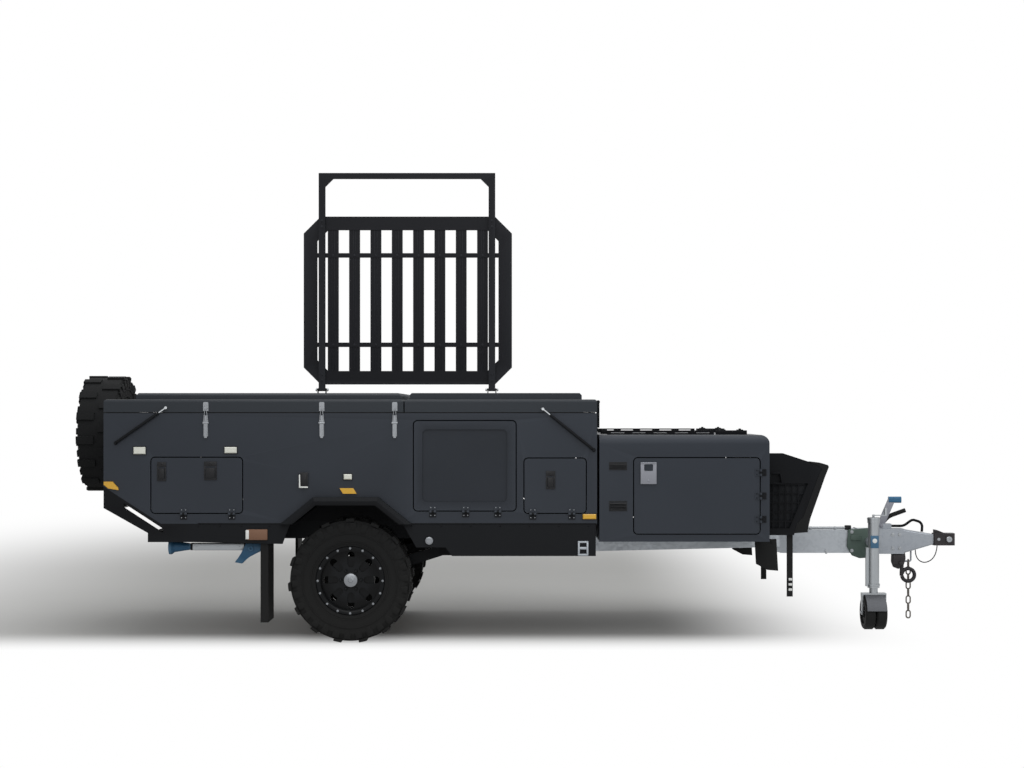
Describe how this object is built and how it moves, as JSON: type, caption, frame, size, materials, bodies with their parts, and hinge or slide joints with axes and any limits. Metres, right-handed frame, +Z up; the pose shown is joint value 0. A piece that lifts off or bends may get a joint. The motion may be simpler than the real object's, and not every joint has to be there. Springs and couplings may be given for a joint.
{
  "type": "off-road folding camper trailer",
  "caption": "Off-road folding camper trailer with two lids, a front box, a raised roof rack, a rear spare wheel, a jockey wheel and folding stabiliser legs.",
  "frame": {"origin": "on the ground under the middle of the overall box, with the trailer standing on its wheels and jockey wheel", "axes": "+X towards the coupling, -Y the near side with the entry door, +Z up"},
  "size_m": [6.04, 1.95, 3.294],
  "materials": {
    "body_paint": "satin dark slate grey",
    "lid_paint": "satin dark slate grey",
    "black_steel": "satin black",
    "rack_black": "black powder coat",
    "hinge_black": "satin black",
    "galvanised": "hot-dip galvanised",
    "zinc": "zinc plated",
    "chain_zinc": "zinc plated",
    "coupling_cast": "painted grey-green",
    "coupling_head_black": "painted black",
    "latch_steel": "brushed",
    "mesh_wire": "satin black",
    "wheel_silver": "satin charcoal",
    "rod_steel": "polished",
    "strut_black": "satin black",
    "blue_steel": "steel blue",
    "blue_grip": "steel blue moulded",
    "cable_sleeve": "black sleeve",
    "rubber": "matte black",
    "tyre_rubber": "matte black",
    "plywood": "sealed plywood",
    "amber_lens": "amber lens",
    "red_lens": "red lens",
    "white_lens": "clear white lens"
  },
  "bodies": {
    "trailer": {"amber_lamps": "amber_lens", "body_floor": "plywood", "body_brackets": "black_steel", "box_rails": "black_steel", "brake_grip": "blue_grip", "brake_lever": "galvanised", "brake_rod": "black_steel", "breakaway_cable": "cable_sleeve", "chassis_frame": "black_steel", "coupling": "coupling_cast", "coupling_head": "coupling_head_black", "door_hinges": "hinge_black", "drawbar": "galvanised", "end_walls": "body_paint", "flaps": "rubber", "front_box": "body_paint", "guard_mesh": "mesh_wire", "latch_bodies": "latch_steel", "rear_bumper": "black_steel", "safety_chain": "chain_zinc", "sill_panels": "black_steel", "stone_guard": "black_steel", "suspension_arms": "black_steel", "tail_lamps": "red_lens", "wall_far": "body_paint", "wall_near": "body_paint", "wheel_arches": "black_steel", "white_lamps": "white_lens"},
    "wheel_near": {"tyre_near": "tyre_rubber", "rim_near": "wheel_silver"},
    "wheel_far": {"tyre_far": "tyre_rubber", "rim_far": "wheel_silver"},
    "rear_lid": {"lid_rear": "lid_paint", "lid_rail_rear": "lid_paint", "latch_hooks": "latch_steel"},
    "front_lid": {"lid_front": "lid_paint", "lid_rail_front": "lid_paint"},
    "spare": {"spare_carrier": "black_steel", "spare_tyre": "tyre_rubber", "spare_rim": "wheel_silver"},
    "rear_strut_tubes": {"strut_tubes_rear": "strut_black"},
    "rear_strut_rods": {"strut_rods_rear": "rod_steel"},
    "front_strut_tubes": {"strut_tubes_front": "strut_black"},
    "front_strut_rods": {"strut_rods_front": "rod_steel"},
    "roof_rack": {"rack": "rack_black"},
    "hatch_rear_near": {"rear_hatch_near": "body_paint"},
    "hatch_rear_far": {"rear_hatch_far": "body_paint"},
    "door_entry": {"entry_door": "body_paint"},
    "hatch_front_near": {"front_hatch_near": "body_paint"},
    "hatch_front_far": {"front_hatch_far": "body_paint"},
    "door_box_near": {"box_door_near": "body_paint"},
    "door_box_far": {"box_door_far": "body_paint"},
    "jockey_outer": {"jockey_tube": "zinc"},
    "jockey_inner": {"jockey_leg": "zinc"},
    "jockey_yoke": {"jockey_fork": "zinc"},
    "jockey_roller": {"jockey_wheels": "rubber"},
    "leg_near": {"leg_tube_near": "black_steel"},
    "leg_far": {"leg_tube_far": "black_steel"},
    "foot_near": {"leg_foot_near": "blue_steel"},
    "foot_far": {"leg_foot_far": "blue_steel"}
  },
  "joints": [
    {"name": "wheel_near_spin", "type": "hinge", "parent": "trailer", "child": "wheel_near", "pos_m": [-1.115, -0.77, 0.402], "axis": [0, 1, 0], "continuous": true},
    {"name": "wheel_far_spin", "type": "hinge", "parent": "trailer", "child": "wheel_far", "pos_m": [-1.115, 0.77, 0.402], "axis": [0, 1, 0], "continuous": true},
    {"name": "lid_rear_hinge", "type": "hinge", "parent": "trailer", "child": "rear_lid", "pos_m": [-2.727, 0, 1.56], "axis": [0, -1, 0], "range_deg": [0, 180]},
    {"name": "lid_front_hinge", "type": "hinge", "parent": "trailer", "child": "front_lid", "pos_m": [0.501, 0, 1.56], "axis": [0, 1, 0], "range_deg": [0, 180]},
    {"name": "spare_swing", "type": "hinge", "parent": "trailer", "child": "spare", "pos_m": [-2.77, 0.88, 0.905], "axis": [0, 0, -1], "range_deg": [0, 108]},
    {"name": "strut_rear_tilt", "type": "hinge", "parent": "trailer", "child": "rear_strut_tubes", "pos_m": [-2.628, 0, 1.293], "axis": [0, -1, 0], "range_deg": [0, 114.75]},
    {"name": "strut_rear_slide", "type": "slide", "parent": "rear_strut_tubes", "child": "rear_strut_rods", "axis": [0.8195, 0, 0.5731], "range_m": [0, 0.209]},
    {"name": "strut_front_tilt", "type": "hinge", "parent": "trailer", "child": "front_strut_tubes", "pos_m": [0.46, 0, 1.248], "axis": [0, 1, 0], "range_deg": [0, 100.01]},
    {"name": "strut_front_slide", "type": "slide", "parent": "front_strut_tubes", "child": "front_strut_rods", "axis": [-0.7788, 0, 0.6273], "range_m": [0, 0.12331]},
    {"name": "rack_fold", "type": "hinge", "parent": "trailer", "child": "roof_rack", "pos_m": [-0.855, 0.941, 1.66], "axis": [-1, 0, 0], "range_deg": [-90, 0]},
    {"name": "rear_hatch_near_hinge", "type": "hinge", "parent": "trailer", "child": "hatch_rear_near", "pos_m": [-2.105, -0.914, 0.835], "axis": [1, 0, 0], "range_deg": [0, 90]},
    {"name": "entry_door_hinge", "type": "hinge", "parent": "trailer", "child": "door_entry", "pos_m": [-0.3735, -0.914, 0.85], "axis": [1, 0, 0], "range_deg": [0, 90]},
    {"name": "front_hatch_near_hinge", "type": "hinge", "parent": "trailer", "child": "hatch_front_near", "pos_m": [0.21, -0.914, 0.835], "axis": [1, 0, 0], "range_deg": [0, 90]},
    {"name": "rear_hatch_far_hinge", "type": "hinge", "parent": "trailer", "child": "hatch_rear_far", "pos_m": [-2.105, 0.914, 0.835], "axis": [-1, 0, 0], "range_deg": [0, 90]},
    {"name": "front_hatch_far_hinge", "type": "hinge", "parent": "trailer", "child": "hatch_front_far", "pos_m": [0.21, 0.914, 0.835], "axis": [-1, 0, 0], "range_deg": [0, 90]},
    {"name": "box_door_near_hinge", "type": "hinge", "parent": "trailer", "child": "door_box_near", "pos_m": [1.54, -0.904, 0.951], "axis": [0, 0, 1], "range_deg": [0, 100]},
    {"name": "box_door_far_hinge", "type": "hinge", "parent": "trailer", "child": "door_box_far", "pos_m": [1.54, 0.904, 0.951], "axis": [0, 0, -1], "range_deg": [0, 100]},
    {"name": "jockey_swing", "type": "hinge", "parent": "trailer", "child": "jockey_outer", "pos_m": [2.417, -0.196, 0.592], "axis": [0, 1, 0], "range_deg": [0, 90]},
    {"name": "jockey_lift", "type": "slide", "parent": "jockey_outer", "child": "jockey_inner", "axis": [0, 0, 1], "range_m": [0, 0.03]},
    {"name": "jockey_swivel", "type": "hinge", "parent": "jockey_inner", "child": "jockey_yoke", "pos_m": [2.417, -0.196, 0.25], "axis": [0, 0, 1], "range_deg": [-90, 90]},
    {"name": "jockey_spin", "type": "hinge", "parent": "jockey_yoke", "child": "jockey_roller", "pos_m": [2.417, -0.196, 0.115], "axis": [1, 0, 0], "continuous": true},
    {"name": "leg_near_swing", "type": "hinge", "parent": "trailer", "child": "leg_near", "pos_m": [-1.765, -0.78, 0.615], "axis": [0, -1, 0], "range_deg": [0, 90]},
    {"name": "leg_far_swing", "type": "hinge", "parent": "trailer", "child": "leg_far", "pos_m": [-1.765, 0.78, 0.615], "axis": [0, -1, 0], "range_deg": [0, 90]},
    {"name": "leg_near_extend", "type": "slide", "parent": "leg_near", "child": "foot_near", "axis": [-1, 0, 0], "range_m": [0, 0.06]},
    {"name": "leg_far_extend", "type": "slide", "parent": "leg_far", "child": "foot_far", "axis": [-1, 0, 0], "range_m": [0, 0.06]}
  ],
  "couplings": [
    {"joint": "spare_swing", "follows": "lid_rear_hinge", "ratio": 0.6},
    {"joint": "strut_rear_tilt", "follows": "lid_rear_hinge", "ratio": 0.6375},
    {"joint": "strut_rear_slide", "follows": "lid_rear_hinge", "m_per_rad": 0.066526},
    {"joint": "strut_front_tilt", "follows": "lid_front_hinge", "ratio": 0.5556},
    {"joint": "strut_front_slide", "follows": "lid_front_hinge", "m_per_rad": 0.03925}
  ]
}
